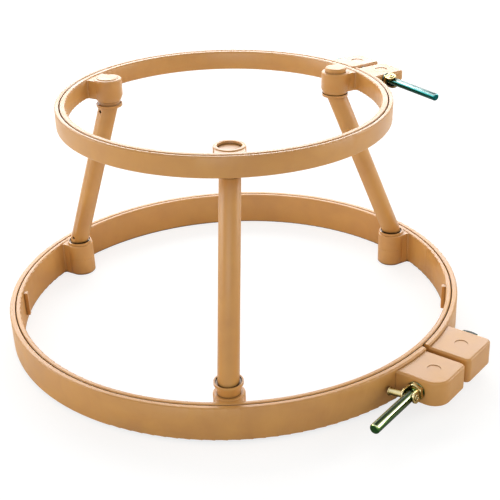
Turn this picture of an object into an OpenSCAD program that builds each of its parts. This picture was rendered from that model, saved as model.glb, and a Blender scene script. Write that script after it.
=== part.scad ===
// Embroidery lap stand. A large base hoop rests on the lap or a table and three splayed legs carry
// a smaller work hoop. Each hoop is an inner ring inside a split outer ring, and a bolt with a
// folding handle draws the two lugs of the outer ring together over the cloth.
// Millimetres, +Z up. The origin is the centre of the base hoop on the surface it rests on.

/* [Base hoop] */
// Diameter where the two base rings meet, measured over the inner ring
base_seam_d = 359.6; // [340:0.2:380]
// Wall of the base inner ring
base_inner_wall = 4; // [3:0.1:5.5]
// Wall of the base outer ring
base_outer_wall = 4.5; // [3:0.1:6]
// Height of the base inner ring
base_h = 29; // [25:0.5:34]
// Height of the base outer ring, flush with the inner ring on top
base_outer_h = 27; // [24:0.5:29]
// Direction of the split in the base outer ring, in degrees
base_split_turn = -40.3; // [-50:0.1:-30]

/* [Work hoop] */
// Diameter where the two work rings meet, measured over the inner ring
work_seam_d = 250.8; // [240:0.2:262]
// Wall of the work inner ring
work_inner_wall = 4.6; // [3.5:0.1:5.5]
// Wall of the work outer ring
work_outer_wall = 3.4; // [2.6:0.1:5]
// Height of both work rings
work_h = 15.6; // [14:0.2:20]
// Direction of the split in the work outer ring, in degrees
work_split_turn = 31; // [24:0.5:38]
// Height of the work hoop's upper face above the table
stand_h = 190; // [170:1:220]
// Lean of the work hoop towards its clamp side, in degrees
work_tilt = 1.27; // [0:0.01:2]

/* [Both hoops] */
// Radial gap between an inner ring and its outer ring
seam_gap = 0.4; // [0.3:0.05:0.6]
// Rounding of the rims of the rings
rim_round = 1.2; // [0.5:0.1:1.4]
// Width of the split between the two lugs of an outer ring
split_w = 4.5; // [3:0.5:6]
// Rounding along the edges of the lugs
lug_round = 1.8; // [0.8:0.1:1.9]

/* [Clamp lugs] */
// How far the base lugs stand out from the outer ring
base_lug_reach = 33; // [30:0.5:36]
// Width of each base lug along the ring
base_lug_w = 36.5; // [34:0.1:42]
// Underside of the base lugs above the underside of the outer ring
base_lug_lift = 5; // [2:0.5:6]
// Upper face of the base lugs below the rim of the ring
base_lug_drop = 2; // [1:0.25:3]
// How far the work lugs stand out from the outer ring
work_lug_reach = 27; // [25:0.5:30]
// Width of each work lug along the ring
work_lug_w = 27.2; // [25:0.1:32]
// Underside of the work lugs above the underside of the ring
work_lug_lift = 6.6; // [3:0.1:6.8]
// Upper face of the work lugs below the rim of the ring
work_lug_drop = 0.5; // [0.4:0.1:2]

/* [Legs] */
// Diameter of a leg
leg_d = 15.6; // [13:0.2:16.4]
// Gap between a base socket and the inner ring's face, which its web fills
base_socket_gap = 0.4; // [0.2:0.1:6]
// Direction of the front base socket past straight ahead, in degrees
base_socket_turn = -2.4; // [-6:0.2:6]
// Gap between a work socket and the inner ring's face, which its web fills
work_socket_gap = 1.8; // [0.3:0.1:6]
// Direction of the front work socket past straight ahead, in degrees
work_socket_turn = 1; // [-6:0.2:6]
// Diameter of the peg that a leg end is capped with
peg_d = 17.2; // [16:0.2:18]
// Length of a peg past its flange
peg_len = 21.6; // [21.4:0.1:24]
// Diameter of a peg's flange
flange_d = 21.2; // [20.8:0.2:22.4]
// Thickness of a peg's flange
flange_t = 2; // [1.6:0.2:3]
// Radial clearance of a peg in its socket
peg_clear = 0.08; // [0.04:0.01:0.1]
// Outside diameter of the base sockets
base_boss_d = 23; // [22:0.2:23.2]
// Outside diameter of the work sockets
work_boss_d = 23; // [21.6:0.2:25]
// How far a work socket reaches below its ring
work_boss_drop = 2.4; // [1.5:0.2:3]

/* [Clamps] */
// Thread diameter of the base bolt
base_bolt_d = 8; // [6:0.5:9]
// Width of the base bolt's square head
base_head_w = 14.6; // [12:0.2:15.4]
// Width across the flats of the base nut
base_hex_w = 12.6; // [12:0.2:15]
// Diameter of the base handle
base_handle_d = 7.6; // [6.6:0.2:8]
// Thread diameter of the work bolt
work_bolt_d = 5; // [4:0.5:5.5]
// Width of the work bolt's square head
work_head_w = 7.6; // [7:0.2:8]
// Width across the flats of the work nut
work_hex_w = 9.6; // [9:0.2:11]
// Diameter of the work handle
work_handle_d = 6; // [5:0.2:7]
// Length of the base handle from its pin to its tip
base_handle_len = 47.8; // [40:0.1:52]
// Length of the work handle from its pin to its tip
work_handle_len = 51.6; // [44:0.1:54]
// Turn of the base nut about its bolt, from its pin standing upright
base_nut_turn = 98; // [90:1:110]
// Turn of the work nut about its bolt, from its pin standing upright
work_nut_turn = 22; // [0:1:40]
// How far the base handle's pin reaches towards the ring
base_pin_reach = 17; // [9:0.5:17]

/* [Hidden] */
// How far each leg's lower flange stands above the base socket: front, right, left
foot_lift = [7, 0, 0];
// How far each leg's upper peg stands out of the work socket: front, right, left
head_lift = [-2, 3.5, 0.6];
// How much shorter than the others each leg's upper peg is: front, right, left
head_peg_trim = [5.5, 0, 0];
// Directions of the two small ribs inside the base inner ring
rib_turns = [180, -8];
rib_w = 4;
rib_depth = 3.2;
rib_gap_top = 2.5;
rib_gap_bottom = 6;
// Height above its flange's mouth at which a leg's axis meets the axis of its head peg
head_meet = 3;

leg_count = 3;
front = -90;
base_socket_turns = [for (i = [0:leg_count - 1]) front + base_socket_turn + i * 360 / leg_count];
work_socket_turns = [for (i = [0:leg_count - 1]) front + work_socket_turn + i * 360 / leg_count];

base_seam_r = base_seam_d / 2;
work_seam_r = work_seam_d / 2;
base_socket_r = base_seam_r - base_inner_wall - base_boss_d / 2 - base_socket_gap;
work_socket_r = work_seam_r - work_inner_wall - work_boss_d / 2 - work_socket_gap;
work_z = stand_h - work_h;
fine = 64;
ring_fine = 180;
join = 0.5;

// Sockets and pegs
socket_r = peg_d / 2 + peg_clear;
web_inset = 1.2;
base_web_w = base_boss_d - 2 * web_inset;
work_web_w = work_boss_d - 2 * web_inset;
web_fillet = 1.5;
web_drop = 0.6;
web_root = 1.8;
work_boss_taper = 4;
boss_toe_r = socket_r + 1.1;
peg_round = 1.4;
mouth_wall = 1.1;
mouth_depth = 1;
spigot_d = 8;
spigot_len = 8;
spigot_clear = 0.05;
pin_hole_d = 3;
pin_hole_depth = 3;
pin_hole_gap = 5;
// Directions of each leg's two small holes round its axis: front, right, left
pin_hole_turns = [0, 180, -98];

// Clamps
base_near_corner = 13;
base_far_corner = 5;
work_lug_corner = 4;
lug_gap_corner = 4;
base_bolt_share = 0.39;
work_bolt_share = 0.33;
mark_d = 10;
mark_depth = 0.4;
bolt_clear = 0.3;
thread_clear = 0.08;
head_share = 0.38;
washer_t = 0.8;
washer_rim = 0.6;
nut_share = 0.26;
ear_t = 1.4;
ear_rim = 0.6;
ear_clear = 0.15;
pivot_gap = 0.6;
handle_pin_share = 0.46;
pin_clear = 0.05;
rivet_head_t = 0.6;
rivet_head_over = 0.7;
rivet_bore_share = 0.66;
barrel_d = 5;
barrel_rim_t = 1;
barrel_rim_over = 0.8;
tip_round = 1.4;

tan_plastic = "#c8955f";
zinc = "#c9cbc6";
brass_tone = "#cda54a";

// Section through a ring wall, with the four edges rounded
module wall_section(r_in, wall, h) {
    e = min(rim_round, wall / 2 - 0.3);
    translate([r_in, 0]) {
        translate([e, 0]) square([wall - 2 * e, h]);
        translate([0, e]) square([wall, h - 2 * e]);
        for (x = [e, wall - e], y = [e, h - e]) translate([x, y]) circle(r = e, $fn = fine);
    }
}

// Vertical post with a rounded top edge, a tapered toe and a hole right through
module socket_post(d, z0, z1, taper, toe_r) {
    e = rim_round;
    rotate_extrude($fn = fine) {
        translate([0, z0]) polygon([[0, 0], [toe_r, 0], [d / 2, taper], [0, taper]]);
        translate([0, z0 + taper]) square([d / 2, z1 - z0 - taper - e]);
        translate([0, z1 - 2 * e]) square([d / 2 - e, 2 * e]);
        translate([d / 2 - e, z1 - e]) circle(r = e, $fn = fine);
    }
}

// Web that ties a socket to the ring at radius ring_r, with a fillet on each side
module socket_web(socket_at, ring_r, w, z0, z1) {
    corner_x = ring_r - web_fillet;
    translate([socket_at, -w / 2, z0]) cube([ring_r - socket_at + web_root, w, z1 - z0]);
    for (side = [-1, 1]) difference() {
        translate([corner_x, side > 0 ? w / 2 : -w / 2 - web_fillet, z0])
            cube([web_fillet + web_root, web_fillet, z1 - z0]);
        translate([corner_x - join / 2, side * (w / 2 + web_fillet), z0 - 1])
            cylinder(h = z1 - z0 + 2, r = web_fillet, $fn = fine);
    }
}

module ring_tube(r_in, wall, h) {
    rotate_extrude($fn = ring_fine) wall_section(r_in, wall, h);
}

module base_inner_ring() color(tan_plastic) {
    r_in = base_seam_r - base_inner_wall;
    web_top = base_h - web_drop;
    difference() {
        union() {
            ring_tube(r_in, base_inner_wall, base_h);
            for (a = base_socket_turns) rotate([0, 0, a]) {
                socket_web(base_socket_r, r_in, base_web_w, 0, web_top);
                translate([base_socket_r, 0, 0]) socket_post(base_boss_d, 0, base_h, 1, base_boss_d / 2 - 1);
            }
            for (a = rib_turns) rotate([0, 0, a])
                translate([r_in - rib_depth, -rib_w / 2, rib_gap_bottom])
                    cube([rib_depth + join, rib_w, base_h - rib_gap_bottom - rib_gap_top]);
        }
        for (a = base_socket_turns) rotate([0, 0, a])
            translate([base_socket_r, 0, -1]) cylinder(h = base_h + 2, r = socket_r, $fn = fine);
    }
}

// Leans what is drawn level about the centre of the work hoop's upper face
module tilted() translate([0, 0, stand_h]) rotate([0, work_tilt, 0]) translate([0, 0, -stand_h]) children();

module work_inner_ring() color(tan_plastic) tilted() {
    r_in = work_seam_r - work_inner_wall;
    difference() {
        translate([0, 0, work_z]) union() {
            ring_tube(r_in, work_inner_wall, work_h);
            for (a = work_socket_turns) rotate([0, 0, a]) {
                socket_web(work_socket_r, r_in, work_web_w, 0, work_h - web_drop);
                translate([work_socket_r, 0, 0])
                    socket_post(work_boss_d, -work_boss_drop, work_h, work_boss_taper, boss_toe_r);
            }
        }
        for (a = work_socket_turns) rotate([0, 0, a])
            translate([work_socket_r, 0, work_z - work_boss_drop - 1])
                cylinder(h = work_h + work_boss_drop + 2, r = socket_r, $fn = fine);
    }
}

// Outline of a lug's section, w wide, its corners rounded at the free ends
module lug_end_outline(w, h, round_start) {
    e = lug_round;
    start = round_start ? e : 0;
    translate([start, 0]) square([w - e - start, h]);
    translate([0, e]) square([w, h - 2 * e]);
    for (y = [e, h - e]) {
        translate([w - e, y]) circle(r = e, $fn = fine);
        if (round_start) translate([e, y]) circle(r = e, $fn = fine);
    }
}

// Upright post that rounds a corner of a lug
module lug_post(r, h) {
    e = lug_round;
    rotate_extrude($fn = fine) {
        square([r - e, h]);
        translate([0, e]) square([r, h - 2 * e]);
        for (y = [e, h - e]) translate([r - e, y]) circle(r = e, $fn = fine);
    }
}

// Lug from x0 out to x1 and from the split at y = 0 along to y = w, its underside at z = 0
module lug(x0, x1, w, h, corner) {
    g = lug_gap_corner;
    e = lug_round;
    translate([x0, 0, 0]) rotate([90, 0, 90]) linear_extrude(x1 - x0 - corner) lug_end_outline(w, h, true);
    translate([x0, 0, 0]) rotate([90, 0, 90]) linear_extrude(x1 - x0 - g)
        lug_end_outline(w - corner + e, h, true);
    translate([x0, w - corner, 0]) rotate([90, 0, 0]) linear_extrude(w - corner - g)
        lug_end_outline(x1 - x0, h, false);
    translate([x1 - corner, w - corner, 0]) lug_post(corner, h);
    translate([x1 - g, g, 0]) lug_post(g, h);
}

// Split outer ring with two lugs, its split at +X
module outer_ring(seam_r, wall, h, reach, w, lift, drop, near_corner, far_corner, bolt_at, bolt_d) {
    r_in = seam_r + seam_gap;
    r_out = r_in + wall;
    lug_h = h - drop - lift;
    lug_root = r_in - wall;
    mark_x = r_out + reach / 2;
    mark_y = split_w / 2 + w / 2;
    difference() {
        union() {
            ring_tube(r_in, wall, h);
            translate([0, split_w / 2, lift]) lug(lug_root, r_out + reach, w, lug_h, far_corner);
            mirror([0, 1, 0]) translate([0, split_w / 2, lift])
                lug(lug_root, r_out + reach, w, lug_h, near_corner);
        }
        translate([0, 0, -1]) cylinder(h = h + 2, r = r_in, $fn = ring_fine);
        translate([lug_root - 1, -split_w / 2, -1]) cube([reach + 3 * wall, split_w, h + 2]);
        translate([bolt_at, w + split_w, lift + lug_h / 2]) rotate([90, 0, 0])
            cylinder(h = 2 * (w + split_w), r = bolt_d / 2 + bolt_clear, $fn = fine);
        for (side = [-1, 1]) translate([mark_x, side * mark_y, h - drop - mark_depth])
            cylinder(h = mark_depth + 1, r = mark_d / 2, $fn = fine);
    }
}

// Clamp hardware is drawn with the bolt along Y: its head at +Y, its nut and handle at -Y
base_outer_z = base_h - base_outer_h;
base_bolt_at = base_seam_r + seam_gap + base_outer_wall + base_lug_reach * base_bolt_share;
base_bolt_z = base_outer_z + (base_lug_lift + base_outer_h - base_lug_drop) / 2;
base_lug_end = split_w / 2 + base_lug_w;
work_bolt_at = work_seam_r + seam_gap + work_outer_wall + work_lug_reach * work_bolt_share;
work_bolt_z = work_z + (work_lug_lift + work_h - work_lug_drop) / 2;
work_lug_end = split_w / 2 + work_lug_w;

module base_outer_ring() color(tan_plastic) translate([0, 0, base_outer_z]) rotate([0, 0, base_split_turn])
    outer_ring(base_seam_r, base_outer_wall, base_outer_h, base_lug_reach, base_lug_w, base_lug_lift,
        base_lug_drop, base_near_corner, base_far_corner, base_bolt_at, base_bolt_d);

module work_outer_ring() color(tan_plastic) tilted()
    translate([0, 0, work_z]) rotate([0, 0, work_split_turn])
        outer_ring(work_seam_r, work_outer_wall, work_h, work_lug_reach, work_lug_w, work_lug_lift,
            work_lug_drop, work_lug_corner, work_lug_corner, work_bolt_at, work_bolt_d);

module base_clamp_place() rotate([0, 0, base_split_turn]) translate([base_bolt_at, 0, base_bolt_z])
    children();

module work_clamp_place() tilted()
    rotate([0, 0, work_split_turn]) translate([work_bolt_at, 0, work_bolt_z]) children();

// Cylinder along Y, from y0 up to y1
module bar_y(y0, y1, r) translate([0, y1, 0]) rotate([90, 0, 0]) cylinder(h = y1 - y0, r = r, $fn = fine);

// Prism along Y, a flat on top, with its corners turned off on the face at y1
module prism_y(sides, y0, y1, flats) {
    corner_r = flats / 2 / cos(180 / sides);
    t = y1 - y0;
    face_r = corner_r - (corner_r - flats / 2) * 0.8;
    intersection() {
        translate([0, y1, 0]) rotate([90, 0, 0]) rotate([0, 0, sides == 4 ? 45 : 0])
            cylinder(h = t, r = corner_r, $fn = sides);
        translate([0, y1, 0]) rotate([90, 0, 0])
            cylinder(h = t, r1 = face_r, r2 = face_r + t * 1.7, $fn = fine);
    }
}

function nut_depth(flats) = flats * nut_share;

// Bolt whose square head bears on the far lug and whose thread ends inside the nut
module clamp_bolt(d, head_w, flats, lug_end) {
    prism_y(4, lug_end, lug_end + head_w * head_share, head_w);
    bar_y(-lug_end - washer_t - nut_depth(flats), lug_end + join, d / 2);
}

module clamp_washer(d, flats, lug_end) difference() {
    bar_y(-lug_end - washer_t, -lug_end, flats / 2 + washer_rim);
    bar_y(-lug_end - washer_t - 1, -lug_end + 1, d / 2 + bolt_clear);
}

// Distance from the lug's face to the pin of the handle
function pivot_out(flats, handle_d) = washer_t + nut_depth(flats) + pivot_gap + handle_d / 2;

// Hexagon plate with two ears that hold the handle's pin, turned about the bolt
module swivel_nut(d, flats, lug_end, handle_d, turn) {
    face = -lug_end - washer_t;
    nut_t = nut_depth(flats);
    pivot_y = -lug_end - pivot_out(flats, handle_d);
    slot = handle_d / 2 + ear_clear;
    ear_r = handle_d / 2 + ear_rim;
    rotate([0, -turn, 0]) difference() {
        union() {
            mirror([0, 1, 0]) prism_y(6, -face, -face + nut_t, flats);
            for (side = [-1, 1]) translate([0, 0, side > 0 ? slot : -slot - ear_t]) {
                translate([0, pivot_y, 0]) cylinder(h = ear_t, r = ear_r, $fn = fine);
                translate([-ear_r, pivot_y, 0]) cube([2 * ear_r, face - nut_t - pivot_y + join, ear_t]);
            }
        }
        bar_y(face - nut_t - 1, face + 1, d / 2 + thread_clear);
        translate([0, pivot_y, -slot - ear_t - 1])
            cylinder(h = 2 * (slot + ear_t + 1), r = handle_d * handle_pin_share / 2, $fn = fine);
    }
}

// Tubular rivet through both ears, its ends flared; where it reaches further it is a barrel
module handle_pin(flats, lug_end, handle_d, turn, reach) {
    pin_r = handle_d * handle_pin_share / 2;
    half = handle_d / 2 + ear_clear + ear_t;
    top = max(reach, half + rivet_head_t);
    rotate([0, -turn, 0]) translate([0, -lug_end - pivot_out(flats, handle_d), 0]) difference() {
        union() {
            translate([0, 0, -half]) cylinder(h = 2 * half, r = pin_r, $fn = fine);
            for (z = [-half - rivet_head_t, half]) translate([0, 0, z])
                cylinder(h = rivet_head_t, r = pin_r + rivet_head_over, $fn = fine);
            if (reach > half + rivet_head_t) {
                translate([0, 0, half]) cylinder(h = reach - half, r = barrel_d / 2, $fn = fine);
                translate([0, 0, reach - barrel_rim_t])
                    cylinder(h = barrel_rim_t, r = barrel_d / 2 + barrel_rim_over, $fn = fine);
            }
        }
        translate([0, 0, -half - rivet_head_t - 1])
            cylinder(h = half + rivet_head_t + 2 + top, r = pin_r * rivet_bore_share, $fn = fine);
    }
}

// Round rod with a domed root on the pin and a rounded tip
module handle(flats, lug_end, handle_d, handle_len, turn) {
    r = handle_d / 2;
    pin_r = handle_d * handle_pin_share / 2 + pin_clear;
    rotate([0, -turn, 0]) translate([0, -lug_end - pivot_out(flats, handle_d), 0]) difference() {
        union() {
            sphere(r = r, $fn = fine);
            rotate([90, 0, 0]) rotate_extrude($fn = fine) {
                square([r, handle_len - tip_round]);
                square([r - tip_round, handle_len]);
                translate([r - tip_round, handle_len - tip_round]) circle(r = tip_round, $fn = fine);
            }
        }
        translate([0, 0, -r - 1]) cylinder(h = handle_d + 2, r = pin_r, $fn = fine);
    }
}

module base_clamp_bolt() color(zinc) base_clamp_place()
    clamp_bolt(base_bolt_d, base_head_w, base_hex_w, base_lug_end);
module base_clamp_washer() color(zinc) base_clamp_place()
    clamp_washer(base_bolt_d, base_hex_w, base_lug_end);
module base_swivel_nut() color(brass_tone) base_clamp_place()
    swivel_nut(base_bolt_d, base_hex_w, base_lug_end, base_handle_d, base_nut_turn);
module base_handle_pin() color(brass_tone) base_clamp_place()
    handle_pin(base_hex_w, base_lug_end, base_handle_d, base_nut_turn, base_pin_reach);
module base_handle() color(zinc) base_clamp_place()
    handle(base_hex_w, base_lug_end, base_handle_d, base_handle_len, base_nut_turn);

module work_clamp_bolt() color(zinc) work_clamp_place()
    clamp_bolt(work_bolt_d, work_head_w, work_hex_w, work_lug_end);
module work_clamp_washer() color(zinc) work_clamp_place()
    clamp_washer(work_bolt_d, work_hex_w, work_lug_end);
module work_swivel_nut() color(brass_tone) work_clamp_place()
    swivel_nut(work_bolt_d, work_hex_w, work_lug_end, work_handle_d, work_nut_turn);
module work_handle_pin() color(brass_tone) work_clamp_place()
    handle_pin(work_hex_w, work_lug_end, work_handle_d, work_nut_turn, 0);
module work_handle() color(zinc) work_clamp_place()
    handle(work_hex_w, work_lug_end, work_handle_d, work_handle_len, work_nut_turn);

// Centres of the mouths of a leg's two flanges, and where its axis meets its head peg's axis
function foot_point(i) = [base_socket_r * cos(base_socket_turns[i]),
    base_socket_r * sin(base_socket_turns[i]), base_h + foot_lift[i] + flange_t];
function lean(x, y, up) = [x * cos(work_tilt) + up * sin(work_tilt), y,
    stand_h + up * cos(work_tilt) - x * sin(work_tilt)];
function head_point(i, up = 0) = lean(work_socket_r * cos(work_socket_turns[i]),
    work_socket_r * sin(work_socket_turns[i]), head_lift[i] - head_peg_len(i) - flange_t + up);

function head_peg_len(i) = peg_len - head_peg_trim[i];
function axis_top(i) = head_point(i, head_meet);
function leg_span(i) = norm(axis_top(i) - foot_point(i));

module along_leg(i) {
    run = axis_top(i) - foot_point(i);
    translate(foot_point(i)) rotate([0, 0, atan2(run[1], run[0])])
        rotate([0, acos(run[2] / norm(run)), 0]) children();
}

// Block wider than the stand, from a level face at z = 0 up or down
module half_space(up) translate([-base_seam_d, -base_seam_d, up ? 0 : -2 * base_seam_d])
    cube(2 * base_seam_d);

module leg(i) color(tan_plastic) {
    span = leg_span(i);
    difference() {
        union() {
            intersection() {
                along_leg(i) translate([0, 0, -leg_d])
                    cylinder(h = span + 2 * leg_d, r = leg_d / 2, $fn = fine);
                translate(foot_point(i) - [0, 0, mouth_depth]) half_space(true);
                translate(head_point(i, mouth_depth)) rotate([0, work_tilt, 0]) half_space(false);
            }
            along_leg(i) translate([0, 0, -spigot_len])
                cylinder(h = span + 2 * spigot_len, r = spigot_d / 2, $fn = fine);
        }
        for (at = [pin_hole_gap, span - head_meet - pin_hole_gap]) along_leg(i) translate([0, 0, at])
            rotate([0, 0, pin_hole_turns[i]]) translate([leg_d / 2 - pin_hole_depth, 0, 0])
                rotate([0, 90, 0]) cylinder(h = leg_d, r = pin_hole_d / 2, $fn = fine);
    }
}

// Peg of length len with a flange, standing with its mouth down at z = 0 and its closed end up
module peg_blank(len) {
    body_top = flange_t + len;
    mouth_r = flange_d / 2 - mouth_wall;
    difference() {
        rotate_extrude($fn = fine) {
            square([flange_d / 2, flange_t]);
            square([peg_d / 2, body_top - peg_round]);
            square([peg_d / 2 - peg_round, body_top]);
            translate([peg_d / 2 - peg_round, body_top - peg_round]) circle(r = peg_round, $fn = fine);
        }
        translate([0, 0, -1]) cylinder(h = mouth_depth + 1, r = mouth_r, $fn = fine);
    }
}

// Bore for a leg's spigot, cut out of the peg around it
module spigot_bore(i) {
    span = leg_span(i);
    along_leg(i) translate([0, 0, -spigot_len - spigot_clear])
        cylinder(h = span + 2 * (spigot_len + spigot_clear), r = spigot_d / 2 + spigot_clear, $fn = fine);
}

module foot_peg(i) color(tan_plastic) difference() {
    translate(foot_point(i)) mirror([0, 0, 1]) peg_blank(peg_len);
    spigot_bore(i);
}

module head_peg(i) color(tan_plastic) difference() {
    translate(head_point(i)) rotate([0, work_tilt, 0]) peg_blank(head_peg_len(i));
    spigot_bore(i);
}

base_inner_ring();
base_outer_ring();
base_clamp_bolt();
base_clamp_washer();
base_swivel_nut();
base_handle_pin();
base_handle();
foot_peg(0);  // foot_peg_front
foot_peg(1);  // foot_peg_right
foot_peg(2);  // foot_peg_left
leg(0);  // leg_front
leg(1);  // leg_right
leg(2);  // leg_left
head_peg(0);  // head_peg_front
head_peg(1);  // head_peg_right
head_peg(2);  // head_peg_left
work_inner_ring();
work_outer_ring();
work_clamp_bolt();
work_clamp_washer();
work_swivel_nut();
work_handle_pin();
work_handle();
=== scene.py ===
"""Embroidery lap stand: finishes, small moulded and threaded details, and a studio stage."""

import math

import bmesh
import bpy
from bpy.props import FloatProperty, FloatVectorProperty, IntProperty, PointerProperty
from bpy.types import Operator, Panel, PropertyGroup
from mathutils import Matrix, Vector


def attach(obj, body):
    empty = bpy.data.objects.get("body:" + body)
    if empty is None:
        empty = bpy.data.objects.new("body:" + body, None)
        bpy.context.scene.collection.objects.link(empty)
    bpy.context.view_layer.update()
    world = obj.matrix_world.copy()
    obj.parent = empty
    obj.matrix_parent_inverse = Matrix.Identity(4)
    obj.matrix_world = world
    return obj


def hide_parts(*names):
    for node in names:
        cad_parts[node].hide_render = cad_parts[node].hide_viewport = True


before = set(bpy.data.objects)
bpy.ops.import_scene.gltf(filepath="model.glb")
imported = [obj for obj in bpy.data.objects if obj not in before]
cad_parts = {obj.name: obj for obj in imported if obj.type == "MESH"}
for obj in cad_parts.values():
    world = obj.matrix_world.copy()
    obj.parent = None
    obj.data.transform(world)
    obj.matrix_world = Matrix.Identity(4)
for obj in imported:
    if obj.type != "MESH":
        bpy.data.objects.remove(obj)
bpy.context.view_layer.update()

bl_info = {
    "name": "Embroidery lap stand",
    "version": (1, 0, 0),
    "blender": (4, 5, 0),
    "location": "3D View > Sidebar > Lap stand",
    "description": "Dresses the lap stand's parts and sets up its studio stage",
    "category": "Object",
}

MM = 0.001
WHITE = (1, 1, 1, 1)

HOOP_NODES = ("base_inner_ring", "base_outer_ring", "work_inner_ring", "work_outer_ring")
LEG_NODES = (
    "leg_front", "leg_right", "leg_left",
    "foot_peg_front", "foot_peg_right", "foot_peg_left",
    "head_peg_front", "head_peg_right", "head_peg_left",
)
BASE_STEEL_NODES = ("base_clamp_washer", "base_handle")
WORK_STEEL_NODES = ("work_clamp_washer", "work_handle")
BRASS_NODES = ("base_swivel_nut", "base_handle_pin", "work_swivel_nut", "work_handle_pin")

# Diameter of the seam between the two rings of each hoop, gap along it, and split in an outer ring
BASE_SEAM = 359.6 * MM
WORK_SEAM = 250.8 * MM
SEAM_GAP = 0.4 * MM
SPLIT_WIDTH = 4.5 * MM

# Sockets of the base hoop: they stand just inside the inner ring, a third of a turn apart
SOCKET_PLACES = ("front", "right", "left")
FRONT_SOCKET_TURN = -92.4
SOCKET_STEP = 120
SOCKET_RADIUS = 11.5 * MM
SOCKET_GAP = 0.4 * MM
BASE_INNER_WALL = 4 * MM
SOCKET_CIRCLE = BASE_SEAM / 2 - BASE_INNER_WALL - SOCKET_GAP - SOCKET_RADIUS

# The work hoop leans about the centre of its upper face, at the stand's full height
STAND_HEIGHT = 190 * MM

# Each clamp bolt lies along the split's tangent, half way up the lugs: lean of its hoop and direction
# of the split in degrees, seam and wall of the outer ring, sizes of a lug, share of the lug's reach
# at which the bolt passes, width of the nut, and the bolt's own sizes
BASE_CLAMP = {
    "tilt": 0.0, "turn": -40.3, "seam": BASE_SEAM, "wall": 4.5 * MM,
    "lug_reach": 33 * MM, "lug_width": 36.5 * MM, "lug_bottom": 7 * MM, "lug_top": 27 * MM,
    "bolt_share": 0.39, "nut_width": 12.6 * MM,
    "diameter": 8 * MM, "pitch": 1.5 * MM, "head_width": 14.6 * MM,
}
WORK_CLAMP = {
    "tilt": 1.27, "turn": 31.0, "seam": WORK_SEAM, "wall": 3.4 * MM,
    "lug_reach": 27 * MM, "lug_width": 27.2 * MM, "lug_bottom": 181 * MM, "lug_top": 189.5 * MM,
    "bolt_share": 0.33, "nut_width": 9.6 * MM,
    "diameter": 5 * MM, "pitch": 1.0 * MM, "head_width": 7.6 * MM,
}
WASHER_THICKNESS = 0.8 * MM
# Depth of the thread's end inside the nut, and height of the head, as shares of their widths
NUT_SHARE = 0.26
HEAD_SHARE = 0.38

FLOOR_HALF_WIDTH = 6.0
FLOOR_DROP = 0.05 * MM

# Place in metres, and pitch, yaw and roll in radians, of the camera that matches the photograph
CAMERA_PLACE = (0, -0.7568, 0.4370)
CAMERA_PITCH = 0.4665
CAMERA_YAW = 0.0198
CAMERA_ROLL = -0.0412

# Name, power setting, width and height, and place of each lamp, in metres
LAMPS = (
    ("back_lamp", "back_power", (2.4, 1.0), (-0.1, 1.4, 0.78)),
    ("front_lamp", "front_power", (4.0, 2.5), (-1.2, -5.0, 1.7)),
    ("left_lamp", "side_power", (1.6, 1.2), (-2.4, 0.1, 0.75)),
    ("right_lamp", "side_power", (1.6, 1.2), (2.4, 0.1, 0.75)),
)
LAMP_AIM = (0, 0, 0.1)


def linear_from_hex(code):
    """sRGB hex colour to linear RGB."""
    values = [int(code[i:i + 2], 16) / 255 for i in (1, 3, 5)]
    return [v / 12.92 if v <= 0.04045 else ((v + 0.055) / 1.055) ** 2.4 for v in values]


def add_node(tree, kind, values=None, links=None, **settings):
    """Adds a shader node with its settings, its input values and its incoming links."""
    node = tree.nodes.new(kind)
    for name, value in settings.items():
        setattr(node, name, value)
    for name, value in (values or {}).items():
        node.inputs[name].default_value = value
    for name, socket in (links or {}).items():
        tree.links.new(socket, node.inputs[name])
    return node


def new_material(name):
    """Empty material and its node tree."""
    material = bpy.data.materials.new(name)
    material.use_nodes = True
    material.node_tree.nodes.clear()
    return material, material.node_tree


def rgba(colour):
    return (colour[0], colour[1], colour[2], 1.0)


class MouldedPlasticSettings(PropertyGroup):
    """Injection-moulded tan plastic of the hoops, legs and pegs"""

    main_colour: FloatVectorProperty(
        name="Main colour", description="Body colour of the tan plastic",
        subtype="COLOR", size=3, min=0, max=1, default=linear_from_hex("#C8924D"))
    deep_colour: FloatVectorProperty(
        name="Deep colour", description="Warmer tone of the faint clouding in the plastic",
        subtype="COLOR", size=3, min=0, max=1, default=linear_from_hex("#BF894A"))
    roughness: FloatProperty(
        name="Roughness", description="Satin skin left by the mould", default=0.36, min=0, max=1)
    clouding: FloatProperty(
        name="Clouding size", description="Width of one cloud of tone in the plastic",
        default=26 * MM, min=5 * MM, max=100 * MM, subtype="DISTANCE", unit="LENGTH")
    flow_mark: FloatProperty(
        name="Flow mark", description="Width of one shallow wave that the plastic's flow left",
        default=9 * MM, min=1 * MM, max=50 * MM, subtype="DISTANCE", unit="LENGTH")
    skin: FloatProperty(
        name="Skin grain", description="Width of one grain of the mould's satin texture",
        default=0.9 * MM, min=0.1 * MM, max=3 * MM, subtype="DISTANCE", unit="LENGTH")
    # Reach of the painted shade that ambient occlusion puts in seams and corners
    painted_shade_reach: FloatProperty(
        name="Painted shade reach", description="How far the darkening reaches out of a seam or corner",
        default=3.2 * MM, min=0.2 * MM, max=10 * MM, subtype="DISTANCE", unit="LENGTH")
    edge_round: FloatProperty(
        name="Edge rounding", description="Rounding of the small moulded edges",
        default=0.35 * MM, min=0.05 * MM, max=0.8 * MM, subtype="DISTANCE", unit="LENGTH")


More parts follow.
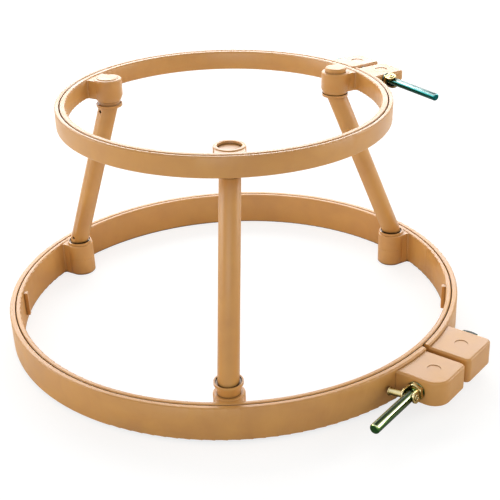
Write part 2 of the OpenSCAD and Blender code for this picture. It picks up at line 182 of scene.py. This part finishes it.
class ClampMetalSettings(PropertyGroup):
    """Plated steel and brass of the two clamps"""

    zinc_roughness: FloatProperty(
        name="Zinc roughness", description="Roughness of the bright zinc plating",
        default=0.2, min=0.05, max=1)
    brass_roughness: FloatProperty(
        name="Brass roughness", description="Roughness of the machined brass",
        default=0.24, min=0.05, max=1)
    # Reach of the painted shade that ambient occlusion puts in bores and slots
    painted_shade_reach: FloatProperty(
        name="Painted shade reach", description="How deep the darkening of bores and slots reaches",
        default=1.5 * MM, min=0.2 * MM, max=10 * MM, subtype="DISTANCE", unit="LENGTH")
    turning_mark: FloatProperty(
        name="Turning mark", description="Distance between the marks of the turning tool",
        default=0.5 * MM, min=0.1 * MM, max=2 * MM, subtype="DISTANCE", unit="LENGTH")
    dull_patch: FloatProperty(
        name="Dull patch", description="Width of one patch where handling has dulled the metal",
        default=3 * MM, min=0.5 * MM, max=20 * MM, subtype="DISTANCE", unit="LENGTH")
    thread_steps: IntProperty(
        name="Thread steps", description="Points round one turn of a bolt's thread",
        default=40, min=16, max=96)
    edge_round: FloatProperty(
        name="Edge rounding", description="Rounding of the machined edges",
        default=0.22 * MM, min=0.05 * MM, max=0.5 * MM, subtype="DISTANCE", unit="LENGTH")


class StudioSettings(PropertyGroup):
    """Floor, lamps and camera of the stage"""

    floor_colour: FloatVectorProperty(
        name="Floor colour", description="Colour of the pale floor",
        subtype="COLOR", size=3, min=0, max=1, default=linear_from_hex("#F4F4F2"))
    paper_fibre: FloatProperty(
        name="Paper fibre", description="Width of one clump of fibre in the floor's paper",
        default=4 * MM, min=0.5 * MM, max=20 * MM, subtype="DISTANCE", unit="LENGTH")
    ambient: FloatProperty(
        name="Ambient light", description="Strength of the even light from all round",
        default=0.42, min=0, max=3)
    back_power: FloatProperty(
        name="Back lamp", description="Power of the broad lamp above and behind the stand",
        default=36, min=0, max=500, unit="POWER")
    front_power: FloatProperty(
        name="Front lamp", description="Power of the fill lamp on the viewer's side",
        default=70, min=0, max=500, unit="POWER")
    side_power: FloatProperty(
        name="Side lamps", description="Power of each of the two side lamps",
        default=24, min=0, max=500, unit="POWER")
    lens: FloatProperty(
        name="Lens", description="Focal length on a 36 mm wide sensor",
        default=73.68, min=10, max=300, subtype="DISTANCE_CAMERA")


def satin_moulded_abs(settings):
    """Tan ABS, injection moulded against a satin tool: even, slightly waxy, softly lit edges."""
    material, tree = new_material("satin_moulded_abs")
    place = add_node(tree, "ShaderNodeTexCoord")
    # Faint clouds of tone keep the large faces from looking flat
    clouds = add_node(
        tree, "ShaderNodeTexNoise", links={"Vector": place.outputs["Object"]},
        values={"Scale": 1 / settings.clouding, "Detail": 3.0, "Roughness": 0.55, "Distortion": 0.4})
    tone = add_node(tree, "ShaderNodeValToRGB", links={"Fac": clouds.outputs["Fac"]})
    tone.color_ramp.elements[0].position = 0.35
    tone.color_ramp.elements[0].color = rgba(settings.deep_colour)
    tone.color_ramp.elements[1].position = 0.68
    tone.color_ramp.elements[1].color = rgba(settings.main_colour)
    # The satin skin's grain is finer than a pixel of the whole view, so it is drawn coarser
    grain = add_node(
        tree, "ShaderNodeTexNoise", links={"Vector": place.outputs["Object"]},
        values={"Scale": 1 / settings.skin, "Detail": 2.0, "Roughness": 0.6})
    flow = add_node(
        tree, "ShaderNodeTexNoise", links={"Vector": place.outputs["Object"]},
        values={"Scale": 1 / settings.flow_mark, "Detail": 1.0})
    grain_bump = add_node(
        tree, "ShaderNodeBump", links={"Height": grain.outputs["Fac"]},
        values={"Strength": 0.12, "Distance": 0.05 * MM})
    flow_bump = add_node(
        tree, "ShaderNodeBump",
        links={"Height": flow.outputs["Fac"], "Normal": grain_bump.outputs["Normal"]},
        values={"Strength": 0.2, "Distance": 0.15 * MM})
    sheen_spread = add_node(
        tree, "ShaderNodeMapRange", links={"Value": clouds.outputs["Fac"]},
        values={"From Min": 0.3, "From Max": 0.7,
                "To Min": settings.roughness - 0.04, "To Max": settings.roughness + 0.06})
    # Painted shade: ambient occlusion darkens the seams, creases and corners, where shade falls
    hollows = add_node(tree, "ShaderNodeAmbientOcclusion", values={"Distance": settings.painted_shade_reach}, samples=8)
    plastic_painted_shade = add_node(
        tree, "ShaderNodeMapRange", links={"Value": hollows.outputs["AO"]},
        values={"From Min": 0.3, "From Max": 0.78, "To Min": 0.04, "To Max": 1.0})
    shaded = add_node(
        tree, "ShaderNodeVectorMath", operation="SCALE",
        links={"Vector": tone.outputs["Color"], "Scale": plastic_painted_shade.outputs["Result"]})
    surface = add_node(
        tree, "ShaderNodeBsdfPrincipled",
        values={"IOR": 1.52, "Specular IOR Level": 0.5,
                "Subsurface Weight": 0.08, "Subsurface Radius": (2.2, 1.1, 0.5),
                "Subsurface Scale": 1.0 * MM},
        links={"Base Color": shaded.outputs["Vector"], "Roughness": sheen_spread.outputs["Result"],
               "Normal": flow_bump.outputs["Normal"]})
    add_node(tree, "ShaderNodeOutputMaterial", links={"Surface": surface.outputs["BSDF"]})
    return material


def bright_metal(name, painted_light_tones, roughness, settings):
    """Bright metal with a tool's fine marks, cloudy dulling, and light and shade painted by which way
    each face looks.
    """
    material, tree = new_material(name)
    place = add_node(tree, "ShaderNodeTexCoord")
    # Painted light and shade: the colour follows which way a face looks, so each round piece carries a
    # painted highlight stripe over painted shade
    facing = add_node(tree, "ShaderNodeSeparateXYZ", links={0: place.outputs["Normal"]})
    level = add_node(
        tree, "ShaderNodeMapRange", links={"Value": facing.outputs["Z"]},
        values={"From Min": -1.0, "From Max": 1.0, "To Min": 0.0, "To Max": 1.0})
    painted_light_bands = add_node(tree, "ShaderNodeValToRGB", links={"Fac": level.outputs["Result"]})
    elements = painted_light_bands.color_ramp.elements
    while len(elements) < len(painted_light_tones):
        elements.new(0.5)
    for element, (position, code) in zip(elements, painted_light_tones):
        element.position = position
        element.color = rgba(linear_from_hex(code))
    marks = add_node(
        tree, "ShaderNodeTexNoise", links={"Vector": place.outputs["Object"]},
        values={"Scale": 1 / settings.turning_mark, "Detail": 1.0})
    dulling = add_node(
        tree, "ShaderNodeTexNoise", links={"Vector": place.outputs["Object"]},
        values={"Scale": 1 / settings.dull_patch, "Detail": 3.0, "Roughness": 0.6})
    spread = add_node(
        tree, "ShaderNodeMapRange", links={"Value": dulling.outputs["Fac"]},
        values={"From Min": 0.3, "From Max": 0.7, "To Min": roughness - 0.05, "To Max": roughness + 0.08})
    # Painted shade: ambient occlusion darkens bores, slots and corners, where shade falls
    hollows = add_node(tree, "ShaderNodeAmbientOcclusion", values={"Distance": settings.painted_shade_reach}, samples=8)
    metal_painted_shade = add_node(
        tree, "ShaderNodeMapRange", links={"Value": hollows.outputs["AO"]},
        values={"From Min": 0.35, "From Max": 0.8, "To Min": 0.05, "To Max": 1.0})
    clouded = add_node(
        tree, "ShaderNodeMapRange", links={"Value": dulling.outputs["Fac"]},
        values={"From Min": 0.3, "From Max": 0.6, "To Min": 0.85, "To Max": 1.0})
    share = add_node(
        tree, "ShaderNodeMath", operation="MULTIPLY",
        links={0: metal_painted_shade.outputs["Result"], 1: clouded.outputs["Result"]})
    tint = add_node(
        tree, "ShaderNodeVectorMath", operation="SCALE",
        links={"Vector": painted_light_bands.outputs["Color"], "Scale": share.outputs[0]})
    bump = add_node(
        tree, "ShaderNodeBump", links={"Height": marks.outputs["Fac"]},
        values={"Strength": 0.1, "Distance": 0.02 * MM})
    surface = add_node(
        tree, "ShaderNodeBsdfPrincipled", values={"Metallic": 1.0},
        links={"Base Color": tint.outputs["Vector"], "Roughness": spread.outputs["Result"],
               "Normal": bump.outputs["Normal"]})
    add_node(tree, "ShaderNodeOutputMaterial", links={"Surface": surface.outputs["BSDF"]})
    return material


# Colours of each metal from faces that look down, at 0, to faces that look up, at 1: the metal's hue with
# its light and shade painted in.
# Blue zinc: teal, with painted shade below, a painted pale cyan highlight and a painted dark line along
# its top
BLUE_ZINC_PAINTED_LIGHT_TONES = ((0.0, "#14403F"), (0.5, "#0E5756"), (0.73, "#2A7C7C"), (0.79, "#A6D4D4"),
                   (0.88, "#C8E6E6"), (0.93, "#1E5654"), (1.0, "#081E1C"))
# Green zinc: bottle green, with painted shade below, a painted pale yellow highlight and a painted dark
# line along its top
GREEN_ZINC_PAINTED_LIGHT_TONES = ((0.0, "#1F3A1C"), (0.5, "#2A4F28"), (0.74, "#4E7338"), (0.82, "#D0D89A"),
                    (0.91, "#EEF0CC"), (0.96, "#48602E"), (1.0, "#0E140C"))
# Brass: a painted pale yellow highlight above and painted brown shade below
BRASS_PAINTED_LIGHT_TONES = ((0.0, "#2E2512"), (0.42, "#6E5A26"), (0.6, "#CDB876"), (0.9, "#EFE3B8"),
               (1.0, "#C9B470"))


def finish_named(name, make, *args):
    """The material of that name, made on first use."""
    return bpy.data.materials.get(name) or make(*args)


def plastic_finish():
    return finish_named("satin_moulded_abs", satin_moulded_abs, bpy.context.scene.stand_plastic)


def metal_finish(name, painted_light_tones, roughness):
    return finish_named(name, bright_metal, name, painted_light_tones, roughness, bpy.context.scene.stand_metal)


# The zinc and brass finishes carry light and shade painted by which way each face looks
def base_steel_finish():
    roughness = bpy.context.scene.stand_metal.zinc_roughness
    return metal_finish("green_passivated_zinc", GREEN_ZINC_PAINTED_LIGHT_TONES, roughness)


def work_steel_finish():
    roughness = bpy.context.scene.stand_metal.zinc_roughness
    return metal_finish("blue_passivated_zinc", BLUE_ZINC_PAINTED_LIGHT_TONES, roughness)


def brass_finish():
    roughness = bpy.context.scene.stand_metal.brass_roughness
    return metal_finish("machined_brass", BRASS_PAINTED_LIGHT_TONES, roughness)


def dress(obj, material):
    """Gives every face of the object that one material."""
    obj.data.materials.clear()
    obj.data.materials.append(material)


def soften_edges(obj, width):
    """Rounds the sharp edges of a CAD node without touching its own mesh."""
    weld = obj.modifiers.new("joined_faces", "WELD")
    weld.merge_threshold = 0.002 * MM
    bevel = obj.modifiers.new("rounded_edges", "BEVEL")
    bevel.width = width
    bevel.segments = 2
    bevel.limit_method = "ANGLE"
    bevel.angle_limit = math.radians(50)
    bevel.harden_normals = True


def dress_nodes(names, material, edge_round):
    """Gives CAD nodes one material and softens their edges."""
    for name in names:
        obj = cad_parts[name]
        dress(obj, material)
        soften_edges(obj, edge_round)


def add_piece(name, mesh_builder, material, body):
    """Links a new mesh made in bmesh, smooths it, dresses it and hangs it on its body."""
    mesh = bpy.data.meshes.new(name)
    shape = bmesh.new()
    mesh_builder(shape)
    bmesh.ops.remove_doubles(shape, verts=shape.verts, dist=0.001 * MM)
    bmesh.ops.recalc_face_normals(shape, faces=shape.faces)
    shape.to_mesh(mesh)
    shape.free()
    mesh.polygons.foreach_set("use_smooth", [True] * len(mesh.polygons))
    mesh.set_sharp_from_angle(angle=math.radians(35))
    obj = bpy.data.objects.new(name, mesh)
    bpy.context.scene.collection.objects.link(obj)
    dress(obj, material)
    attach(obj, body)
    return obj


def skin_rows(shape, rows):
    """Faces between successive closed rows of vertices that all have the same length."""
    count = len(rows[0])
    for lower, upper in zip(rows, rows[1:]):
        for i in range(count):
            j = (i + 1) % count
            shape.faces.new((lower[i], lower[j], upper[j], upper[i]))


def bolt_place(clamp):
    """Matrix from a bolt's own frame, its axis along +Y with the head at +Y, to the stand."""
    pivot = Matrix.Translation((0, 0, STAND_HEIGHT))
    tilt = pivot @ Matrix.Rotation(math.radians(clamp["tilt"]), 4, "Y") @ pivot.inverted()
    turn = Matrix.Rotation(math.radians(clamp["turn"]), 4, "Z")
    ring_radius = clamp["seam"] / 2 + SEAM_GAP + clamp["wall"]
    out = ring_radius + clamp["lug_reach"] * clamp["bolt_share"]
    height = (clamp["lug_bottom"] + clamp["lug_top"]) / 2
    return tilt @ turn @ Matrix.Translation((out, 0, height))


def build_bolt(shape, clamp, steps):
    """Square-headed bolt with a real helical thread up to its chamfered end."""
    place = bolt_place(clamp)
    radius = clamp["diameter"] / 2
    pitch = clamp["pitch"]
    depth = 0.6 * pitch
    # Along the bolt from the middle of the split: the outside of the far lug, and the near end
    stop = SPLIT_WIDTH / 2 + clamp["lug_width"]
    start = -(stop + WASHER_THICKNESS + NUT_SHARE * clamp["nut_width"])
    rows_per_pitch = 8
    count = int((stop - start) / pitch * rows_per_pitch)
    # Share of the radius at the chamfered end, and how much of it one pitch adds
    end_share = 0.55
    end_growth = 0.5
    # Steepness of the thread's flanks, and the share that the flat at its root takes from them
    steepness = 1.35
    root_flat = 0.12
    rows = []
    for k in range(count + 1):
        y = start + (stop - start) * k / count
        lead_in = min(1, (y - start) / pitch * end_growth + end_share)
        row = []
        for i in range(steps):
            angle = 2 * math.pi * i / steps
            phase = (y / pitch - angle / (2 * math.pi)) % 1
            groove = abs(2 * phase - 1)
            flank = min(1, max(0, groove * steepness - root_flat))
            r = (radius - depth * (1 - flank)) * lead_in
            row.append(shape.verts.new(place @ Vector((r * math.cos(angle), y, r * math.sin(angle)))))
        rows.append(row)
    skin_rows(shape, rows)
    shape.faces.new(rows[0])
    build_square_head(shape, place, clamp["head_width"] / 2, stop, HEAD_SHARE * clamp["head_width"])


def build_square_head(shape, place, half, y0, height):
    """Square head from y0 outwards, its edges eased and its outer corners turned off."""
    # Radii of the end face's rim, of the turned corners and of the shallow dish in the end face
    rim = half * 0.97
    corner = half * 1.3
    dish = rim * 0.55
    slope = math.tan(math.radians(30))
    ease = 0.25 * MM
    steps = 96
    rows = [[], [], [], [], []]
    for i in range(steps):
        angle = 2 * math.pi * i / steps
        # Angle to the middle of the nearest of the four sides
        off = (angle + math.pi / 4) % (math.pi / 2) - math.pi / 4
        reach = min(corner, half / math.cos(off))
        drop = (reach - rim) * slope
        outline = (
            (reach - ease, y0), (reach, y0 + ease), (reach, y0 + height - drop),
            (rim, y0 + height), (dish, y0 + height - ease),
        )
        for row, (r, y) in zip(rows, outline):
            row.append(shape.verts.new(place @ Vector((r * math.cos(angle), y, r * math.sin(angle)))))
    skin_rows(shape, rows)
    shape.faces.new(rows[0])
    shape.faces.new(rows[-1])


def build_parting_line(shape, turn):
    """Thin raised line round the middle of a socket, where the halves of its mould met."""
    centre = Matrix.Rotation(math.radians(turn), 4, "Z") @ Vector((SOCKET_CIRCLE, 0, 0))
    height = 14.6 * MM
    half = 0.3 * MM
    crest_half = half * 0.4
    proud = 0.14 * MM
    sunk = 0.3 * MM
    # Degrees that the web leaves bare on the ring's side, steps of the line and of its fading ends
    bare = 132
    steps = 72
    fade_steps = 6
    rows = []
    for k in range(steps + 1):
        angle = math.radians(turn + bare / 2 + (360 - bare) * k / steps)
        crest = proud * min(1, k / fade_steps, (steps - k) / fade_steps)
        direction = Vector((math.cos(angle), math.sin(angle), 0))
        row = []
        for out, up in ((-sunk, -half), (0, -half), (crest, -crest_half),
                        (crest, crest_half), (0, half), (-sunk, half)):
            point = centre + direction * (SOCKET_RADIUS + out)
            row.append(shape.verts.new((point.x, point.y, height + up)))
        rows.append(row)
    skin_rows(shape, rows)
    shape.faces.new(rows[0])
    shape.faces.new(rows[-1])


class STAND_OT_dress_hoops(Operator):
    """Gives both rings of each hoop their moulded plastic and softens their edges"""

    bl_idname = "stand.dress_hoops"
    bl_label = "Dress hoops"

    def execute(self, context):
        dress_nodes(HOOP_NODES, plastic_finish(), context.scene.stand_plastic.edge_round)
        return {"FINISHED"}


class STAND_OT_dress_legs(Operator):
    """Gives the legs and their pegs their moulded plastic and softens their edges"""

    bl_idname = "stand.dress_legs"
    bl_label = "Dress legs and pegs"

    def execute(self, context):
        dress_nodes(LEG_NODES, plastic_finish(), context.scene.stand_plastic.edge_round)
        return {"FINISHED"}


class STAND_OT_add_parting_lines(Operator):
    """Adds the thin mould line round each socket of the base hoop"""

    bl_idname = "stand.add_parting_lines"
    bl_label = "Add socket mould lines"

    def execute(self, context):
        for i, place in enumerate(SOCKET_PLACES):
            turn = FRONT_SOCKET_TURN + SOCKET_STEP * i
            add_piece(
                "socket_mould_line_" + place, lambda shape, t=turn: build_parting_line(shape, t),
                plastic_finish(), "base_hoop")
        return {"FINISHED"}


class STAND_OT_add_clamp_bolts(Operator):
    """Puts threaded, chamfered bolts in the place of the plain ones"""

    bl_idname = "stand.add_clamp_bolts"
    bl_label = "Add clamp bolts"

    def execute(self, context):
        steps = context.scene.stand_metal.thread_steps
        for name, clamp, finish, body in (
            ("base", BASE_CLAMP, base_steel_finish(), "base_clamp_hoop"),
            ("work", WORK_CLAMP, work_steel_finish(), "work_clamp_hoop"),
        ):
            piece = add_piece(
                name + "_threaded_bolt", lambda shape, c=clamp: build_bolt(shape, c, steps),
                finish, body)
            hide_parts(name + "_clamp_bolt")
        return {"FINISHED"}


class STAND_OT_dress_clamps(Operator):
    """Gives the washers, nuts, pins and handles of the clamps their metals"""

    bl_idname = "stand.dress_clamps"
    bl_label = "Dress clamp metal"

    def execute(self, context):
        edge_round = context.scene.stand_metal.edge_round
        dress_nodes(BASE_STEEL_NODES, base_steel_finish(), edge_round)
        dress_nodes(WORK_STEEL_NODES, work_steel_finish(), edge_round)
        dress_nodes(BRASS_NODES, brass_finish(), edge_round)
        return {"FINISHED"}


def floor_finish(studio):
    """Matt white paper: keeps the soft shadows and meets a white background."""
    material, tree = new_material("matt_white_paper")
    place = add_node(tree, "ShaderNodeTexCoord")
    # Real fibre is finer: it is drawn coarser, and so faint that the eye doesn't pick it out
    fibre = add_node(
        tree, "ShaderNodeTexNoise", links={"Vector": place.outputs["Object"]},
        values={"Scale": 1 / studio.paper_fibre, "Detail": 2.0})
    tone = add_node(tree, "ShaderNodeValToRGB", links={"Fac": fibre.outputs["Fac"]})
    tone.color_ramp.elements[0].color = rgba([channel * 0.99 for channel in studio.floor_colour])
    tone.color_ramp.elements[1].color = rgba(studio.floor_colour)
    paper = add_node(tree, "ShaderNodeBsdfDiffuse", links={"Color": tone.outputs["Color"]})
    glow = add_node(tree, "ShaderNodeEmission", values={"Color": WHITE, "Strength": 1.15})
    rays = add_node(tree, "ShaderNodeLightPath")
    # The paper keeps its shadow round the stand and turns evenly white further out
    distance = add_node(
        tree, "ShaderNodeVectorMath", operation="LENGTH", links={0: place.outputs["Object"]})
    share = add_node(
        tree, "ShaderNodeMapRange", links={"Value": distance.outputs["Value"]},
        values={"From Min": 0.3, "From Max": 1.0, "To Min": 0.66, "To Max": 1.0})
    seen = add_node(
        tree, "ShaderNodeMath", operation="MULTIPLY",
        links={0: rays.outputs["Is Camera Ray"], 1: share.outputs["Result"]})
    surface = add_node(
        tree, "ShaderNodeMixShader", links={0: seen.outputs[0], 1: paper.outputs[0], 2: glow.outputs[0]})
    add_node(tree, "ShaderNodeOutputMaterial", links={"Surface": surface.outputs[0]})
    return material


def add_floor(studio):
    """Wide flat floor just under the stand's underside."""
    mesh = bpy.data.meshes.new("studio_floor")
    shape = bmesh.new()
    bmesh.ops.create_grid(shape, x_segments=8, y_segments=8, size=FLOOR_HALF_WIDTH)
    shape.to_mesh(mesh)
    shape.free()
    floor = bpy.data.objects.new("studio_floor", mesh)
    floor.location.z = -FLOOR_DROP
    bpy.context.scene.collection.objects.link(floor)
    dress(floor, floor_finish(studio))


def add_air(ambient):
    """World that looks white, also in the metal, and lights the stand evenly."""
    world = bpy.data.worlds.new("studio_air")
    bpy.context.scene.world = world
    world.use_nodes = True
    tree = world.node_tree
    tree.nodes.clear()
    rays = add_node(tree, "ShaderNodeLightPath")
    clear = add_node(
        tree, "ShaderNodeMath", operation="MAXIMUM",
        links={0: rays.outputs["Is Camera Ray"], 1: rays.outputs["Is Transmission Ray"]})
    seen = add_node(
        tree, "ShaderNodeMath", operation="MAXIMUM",
        links={0: clear.outputs[0], 1: rays.outputs["Is Glossy Ray"]})
    air = add_node(tree, "ShaderNodeBackground", values={"Color": WHITE, "Strength": ambient})
    backdrop = add_node(tree, "ShaderNodeBackground", values={"Color": WHITE, "Strength": 1.0})
    mixed = add_node(
        tree, "ShaderNodeMixShader",
        links={0: seen.outputs[0], 1: air.outputs[0], 2: backdrop.outputs[0]})
    add_node(tree, "ShaderNodeOutputWorld", links={"Surface": mixed.outputs[0]})


def add_lamp(name, power, size, location):
    """Soft white lamp, size wide and high, aimed at the middle of the stand."""
    lamp = bpy.data.lights.new(name, "AREA")
    lamp.energy = power
    lamp.shape = "RECTANGLE"
    lamp.size, lamp.size_y = size
    obj = bpy.data.objects.new(name, lamp)
    obj.location = location
    obj.rotation_mode = "QUATERNION"
    obj.rotation_quaternion = (Vector(LAMP_AIM) - Vector(location)).to_track_quat("-Z", "Y")
    bpy.context.scene.collection.objects.link(obj)


def add_camera(lens):
    """Camera at the photograph's viewing angle."""
    camera = bpy.data.cameras.new("view_camera")
    camera.sensor_width = 36
    camera.sensor_fit = "HORIZONTAL"
    camera.lens = lens
    camera.clip_start = 0.01
    camera.clip_end = 50
    obj = bpy.data.objects.new("view_camera", camera)
    bpy.context.scene.collection.objects.link(obj)
    level = math.cos(CAMERA_PITCH)
    ahead = Vector((
        math.sin(CAMERA_YAW) * level, math.cos(CAMERA_YAW) * level, -math.sin(CAMERA_PITCH)))
    right = ahead.cross(Vector((0, 0, 1))).normalized()
    up = right.cross(ahead)
    side = math.cos(CAMERA_ROLL) * right + math.sin(CAMERA_ROLL) * up
    top = -math.sin(CAMERA_ROLL) * right + math.cos(CAMERA_ROLL) * up
    axes = Matrix((side, top, -ahead)).transposed()
    obj.matrix_world = Matrix.Translation(CAMERA_PLACE) @ axes.to_4x4()
    bpy.context.scene.camera = obj


class STAND_OT_build_stage(Operator):
    """Sets up the pale floor, the soft lamps and the camera of the photograph's view"""

    bl_idname = "stand.build_stage"
    bl_label = "Build stage"

    def execute(self, context):
        studio = context.scene.stand_studio
        add_floor(studio)
        add_air(studio.ambient)
        for name, power, size, location in LAMPS:
            add_lamp(name, getattr(studio, power), size, location)
        add_camera(studio.lens)
        context.scene.view_settings.view_transform = "Standard"
        return {"FINISHED"}


class STAND_PT_lap_stand(Panel):
    """Lists the stand's operators and settings"""

    bl_label = "Lap stand"
    bl_idname = "STAND_PT_lap_stand"
    bl_space_type = "VIEW_3D"
    bl_region_type = "UI"
    bl_category = "Lap stand"

    def draw(self, context):
        for step in STEPS:
            self.layout.operator(step.bl_idname)
        for name, group in GROUPS.items():
            box = self.layout.box()
            for setting in group.__annotations__:
                box.prop(getattr(context.scene, name), setting)


STEPS = (
    STAND_OT_dress_hoops,
    STAND_OT_dress_legs,
    STAND_OT_add_parting_lines,
    STAND_OT_add_clamp_bolts,
    STAND_OT_dress_clamps,
    STAND_OT_build_stage,
)
GROUPS = {
    "stand_plastic": MouldedPlasticSettings,
    "stand_metal": ClampMetalSettings,
    "stand_studio": StudioSettings,
}


def register():
    for group in GROUPS.values():
        bpy.utils.register_class(group)
    for step in STEPS:
        bpy.utils.register_class(step)
    bpy.utils.register_class(STAND_PT_lap_stand)
    for name, group in GROUPS.items():
        setattr(bpy.types.Scene, name, PointerProperty(type=group))


def unregister():
    for name in GROUPS:
        delattr(bpy.types.Scene, name)
    bpy.utils.unregister_class(STAND_PT_lap_stand)
    for step in reversed(STEPS):
        bpy.utils.unregister_class(step)
    for group in reversed(list(GROUPS.values())):
        bpy.utils.unregister_class(group)


def build_all():
    """Registers the add-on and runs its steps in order."""
    register()
    bpy.ops.stand.dress_hoops()
    bpy.ops.stand.dress_legs()
    bpy.ops.stand.add_parting_lines()
    bpy.ops.stand.add_clamp_bolts()
    bpy.ops.stand.dress_clamps()
    bpy.ops.stand.build_stage()


if __name__ == "__main__":
    build_all()
